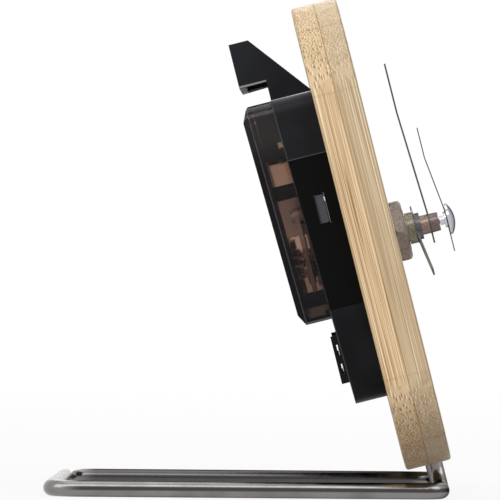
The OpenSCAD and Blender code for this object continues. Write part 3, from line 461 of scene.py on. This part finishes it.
# the side walls are near black towards the back and the foot, and darker lower down
darkened_wall = smoky.most(smoky.spread(from_back, 1.9, 2.15, 1, 0),
                   smoky.spread(up, -8.2, -7.6, 0.85, 0),
                   smoky.spread(up, 0.7, 1.0, 0.4, 0))
clear = smoky.product(side_wall, smoky.band(up, window_y, half=window_half, soft=0.3))
tinted = smoky.mix(smoky.product(side_wall, darkened_wall),
                   smoky.mix(clear, (0.75, 0.69, 0.645), (0.98, 0.97, 0.97)), (0.03, 0.03, 0.035))
# an opaque snap tab, and grey painted highlights near the rear edge and along the foot
painted_rear_highlight = smoky.product(smoky.band(from_back, 1.15, half=0.05, soft=0.1), 0.7)
painted_foot_highlight = smoky.band(up, cover_foot + 0.25, half=0.1, soft=0.12)
tab_and_painted_lines = smoky.most(smoky.spread(out, tab_z - 0.1, tab_z + 0.1),
                  smoky.product(side_wall, smoky.most(painted_rear_highlight, painted_foot_highlight)))
smoky.surface(
    IOR=1.49,
    # the snap tab and the painted highlight lines are opaque and grey
    Base_Color=smoky.mix(tab_and_painted_lines, tinted, (0.088, 0.088, 0.105)),
    Transmission_Weight=smoky.maths("SUBTRACT", 1.0, tab_and_painted_lines),
    # painted sheen: the cover reflects more over its top, so its top looks lighter
    Specular_Tint=smoky.mix(smoky.spread(up, 17, 22), (0.3, 0.3, 0.32), (0.62, 0.62, 0.64)),
    Roughness=smoky.spread(smoky.mottle(0.15, 2), 0.3, 0.7, 0.02, 0.07))
smoke = smoky.fill(smoky.add("ShaderNodeVolumeAbsorption"), Color=(0.45, 0.228, 0.093),
                   Density=700)
smoky.fill(smoky.tree.nodes["Material Output"], Volume=smoke["Volume"])
smoky.coat("rear_cover")


# The fastening: a turned brass bush through the board, a thin washer and a chamfered hex nut,
# dull nickel over steel.
def turned(name, light, deep, *pieces):
    """Metal turned on a lathe and left a little dull."""
    metal = mottled(name, light, 0.28, 1.0, grain=(3, 4, 0.6), patches=(0.35, 0.65),
                    tones=(light, deep), relief=(0.006 * mm, 0.3))
    metal.surface(Specular_Tint=(0.3, 0.3, 0.3))
    metal.coat(*pieces)


mottled("turned_brass", (0.30, 0.25, 0.15), 0.3, 1.0, grain=(6, 3),
        tones=((0.27, 0.22, 0.13), (0.34, 0.28, 0.17)),
        relief=(0.008 * mm, 0.4)).coat("threaded_bush")
turned("dark_washer", (0.03, 0.027, 0.026), (0.015, 0.014, 0.013), "nut_washer")
dull_nickel = mottled("dull_nickel", (0.24, 0.20, 0.18), 0.34, 0.5, grain=(1.6, 4, 0.6),
                      patches=(0.35, 0.65), tones=((0.27, 0.235, 0.21), (0.20, 0.165, 0.145)),
                      shine=(0.42, 0.55), relief=(0.02 * mm, 0.3))
dull_nickel.surface(Specular_Tint=(0.35, 0.35, 0.35))
dull_nickel.coat("hex_nut")

# The works behind the cover: a dark middle plate, the setting knob, the circuit board with its
# potted chip and the quartz crystal's can.
mottled("dark_plate", (0.03, 0.03, 0.032), 0.45, grain=(0.8, 3),
        tones=((0.022, 0.022, 0.024), (0.04, 0.04, 0.043)),
        relief=(0.02 * mm, 0.3)).coat("middle_plate")
mottled("black_knob", (0.02, 0.02, 0.022), 0.38, grain=(3, 3),
        tones=((0.014, 0.014, 0.016), (0.032, 0.032, 0.036)),
        shine=(0.32, 0.46)).coat("setting_knob")
laminate = Finish("green_laminate", (0.05, 0.16, 0.08), 0.4)
weave = laminate.fill(laminate.add("ShaderNodeTexBrick"), Vector=laminate.dial(), Scale=0.22,
                      Mortar_Size=0.06)
laminate.surface(Base_Color=laminate.mix(weave["Fac"], (0.04, 0.13, 0.065), (0.10, 0.24, 0.11)))
laminate.coat("circuit_board")
mottled("potting_resin", (0.008, 0.008, 0.008), 0.3, grain=(1.2, 2), shine=(0.22, 0.4),
        relief=(0.05 * mm, 0.3)).coat("driver_chip")
mottled("crystal_can", (0.72, 0.72, 0.74), 0.24, 1.0, grain=(4, 3),
        shine=(0.18, 0.34)).coat("quartz_crystal")

# The motor: a natural plastic bobbin wound with enamelled copper wire on an iron core, the
# stator under it, three screws, and the magnet of the rotor.
mottled("natural_bobbin", (0.95, 0.92, 0.95), 0.2, grain=(0.6, 2),
        tones=((0.90, 0.86, 0.90), (0.97, 0.95, 0.98))).coat("coil_bobbin")
copper = Finish("enamelled_wire", (0.45, 0.17, 0.06), 0.32, 0.8)
wire = copper.add("ShaderNodeTexWave", wave_type="BANDS", bands_direction="X")
turns = copper.fill(wire, Vector=copper.dial(), Scale=2.2, Distortion=0.4)["Fac"]
copper.surface(Base_Color=copper.mix(turns, (0.26, 0.08, 0.03), (0.58, 0.25, 0.10)))
copper.relief(turns, 0.06 * mm, 0.8)
copper.coat("coil_winding")
mottled("stamped_iron", (0.42, 0.42, 0.43), 0.38, 1.0, grain=(1.2, 3), along=8,
        tones=((0.36, 0.36, 0.37), (0.48, 0.48, 0.49)),
        shine=(0.3, 0.46)).coat("coil_core", "stator", "stator_screws")
mottled("sintered_magnet", (0.10, 0.10, 0.11), 0.5, 0.7, grain=(8, 3),
        tones=((0.07, 0.07, 0.08), (0.14, 0.14, 0.15))).coat("rotor_magnet")

# The train: wheels and pinions moulded in natural acetal, each in one piece with its arbor. The
# small arbors turn between holes in the middle plate and bosses on the cover's inside.
mottled("moulded_acetal", (0.70, 0.68, 0.62), 0.4, grain=(1.0, 2),
        tones=((0.64, 0.62, 0.56), (0.76, 0.74, 0.68)), relief=(0.02 * mm, 0.2)).coat(
    "rotor_pinion", "intermediate_wheel", "second_wheel", "third_wheel", "centre_wheel",
    "motion_wheel")

# The cell's contacts: strips of nickel-plated spring steel, bent round the ends of the bay, each
# with a foot that runs on to the circuit board.
mottled("contact_strip", (0.62, 0.61, 0.58), 0.28, 1.0, grain=(2, 3), along=0.3,
        shine=(0.2, 0.4)).coat("positive_contact", "negative_contact")

# The hands: stamped sheet, dark grey, on turned hubs. The second hand sits under a domed cap of
# bright chrome.
mottled("dark_hand", (0.075, 0.075, 0.08), 0.34, 0.55, grain=(3, 3), along=0.1,
        tones=((0.06, 0.06, 0.065), (0.10, 0.10, 0.105)),
        shine=(0.28, 0.4)).coat("hour_hand", "minute_hand", "second_hand")
turned("pale_brass", (0.23, 0.21, 0.155), (0.13, 0.118, 0.088), "hour_collet")
turned("dark_tube", (0.13, 0.12, 0.125), (0.09, 0.085, 0.09), "hour_wheel")
turned("bronze_arbor", (0.27, 0.20, 0.16), (0.18, 0.13, 0.105), "minute_arbor")
turned("brown_nut", (0.17, 0.135, 0.125), (0.12, 0.095, 0.09), "minute_nut")
chrome = mottled("bright_cap", (0.52, 0.52, 0.55), 0.08, 1.0, grain=(2, 2), shine=(0.05, 0.12))
chrome.surface(Specular_Tint=(0.05, 0.05, 0.05))
chrome.coat("second_cap", "second_tube")


# The studio: a wide pale floor, a white surround, and soft lamps above and to the sides. Floor
# and surround show white to the camera, in the metal and through the cover.
def shown_white(recipe):
    ray = recipe.add("ShaderNodeLightPath").outputs
    return recipe.most(ray["Is Camera Ray"], ray["Is Glossy Ray"], ray["Is Transmission Ray"])


floor_half = 6
floor_mesh = bpy.data.meshes.new("floor")
floor_corners = [(x * floor_half, y * floor_half, 0)
                 for x, y in ((-1, -1), (1, -1), (1, 1), (-1, 1))]
floor_mesh.from_pydata(floor_corners, [], [(0, 1, 2, 3)])
floor = bpy.data.objects.new("floor", floor_mesh)
bpy.context.scene.collection.objects.link(floor)
pale = Finish("pale_floor", (0.6, 0.6, 0.6), 0.9)
pale.surface(Specular_IOR_Level=0.1)
from_clock = pale.add("ShaderNodeVectorMath", operation="LENGTH")
pale.feed(from_clock.inputs[0], pale.add("ShaderNodeTexCoord").outputs["Object"])
whiteness = pale.spread(from_clock.outputs["Value"], 0.1, 0.9, 0.85, 1)
glow = pale.fill(pale.add("ShaderNodeEmission"), Color=(1, 1, 1), Strength=1.0)
both = pale.add("ShaderNodeMixShader")
pale.feed(both.inputs["Fac"], pale.product(shown_white(pale), whiteness))
pale.feed(both.inputs[1], pale.shader.outputs["BSDF"])
pale.feed(both.inputs[2], glow["Emission"])
pale.fill(pale.tree.nodes["Material Output"], Surface=both.outputs["Shader"])
floor_mesh.materials.append(pale.material)

scene = bpy.context.scene
scene.view_settings.view_transform = "Standard"
world = bpy.data.worlds.new("studio")
world.use_nodes = True
scene.world = world
ambient = 0.55
sky = Recipe(world.node_tree)
sky.fill(sky.tree.nodes["Background"], Color=(1, 1, 1),
         Strength=sky.maths("MULTIPLY_ADD", shown_white(sky), 1 - ambient, ambient))

lamp_target = Vector((0, 0, 0.045))
for name, place, width, height, watts in (
    ("side_lamp", (-0.85, 0.0, 0.90), 1.6, 0.6, 6.2),
    ("rear_lamp", (-0.40, 0.75, 0.50), 0.6, 0.6, 2.0),
    ("front_lamp", (-0.25, -0.90, 0.55), 0.6, 0.6, 3.0),
    ("top_lamp", (0.15, 0.0, 1.0), 0.8, 0.8, 2.0),
    ("far_lamp", (0.80, -0.10, 0.55), 0.6, 0.6, 2.5),
):
    lamp_data = bpy.data.lights.new(name, "AREA")
    lamp_data.shape = "RECTANGLE"
    lamp_data.size, lamp_data.size_y = width, height
    lamp_data.energy = watts
    lamp = bpy.data.objects.new(name, lamp_data)
    lamp.location = place
    lamp.rotation_euler = (lamp_target - Vector(place)).to_track_quat("-Z", "Y").to_euler()
    scene.collection.objects.link(lamp)

# The camera: a long lens nearly level with the clock, on its 9 o'clock side, turned and rolled
# by about a degree.
camera_data = bpy.data.cameras.new("camera")
camera_data.lens = 381.95
camera_data.clip_start, camera_data.clip_end = 0.05, 20
camera = bpy.data.objects.new("camera", camera_data)
camera.location = (-0.986, -0.01704, 0.04238)
yaw, pitch, roll = (math.radians(angle) for angle in (1.027, 0.148, 0.423))
aim = Vector((math.cos(yaw) * math.cos(pitch), math.sin(yaw) * math.cos(pitch), math.sin(pitch)))
camera.rotation_euler = (aim.to_track_quat("-Z", "Y") @ Quaternion((0, 0, 1), roll)).to_euler()
scene.collection.objects.link(camera)
scene.camera = camera
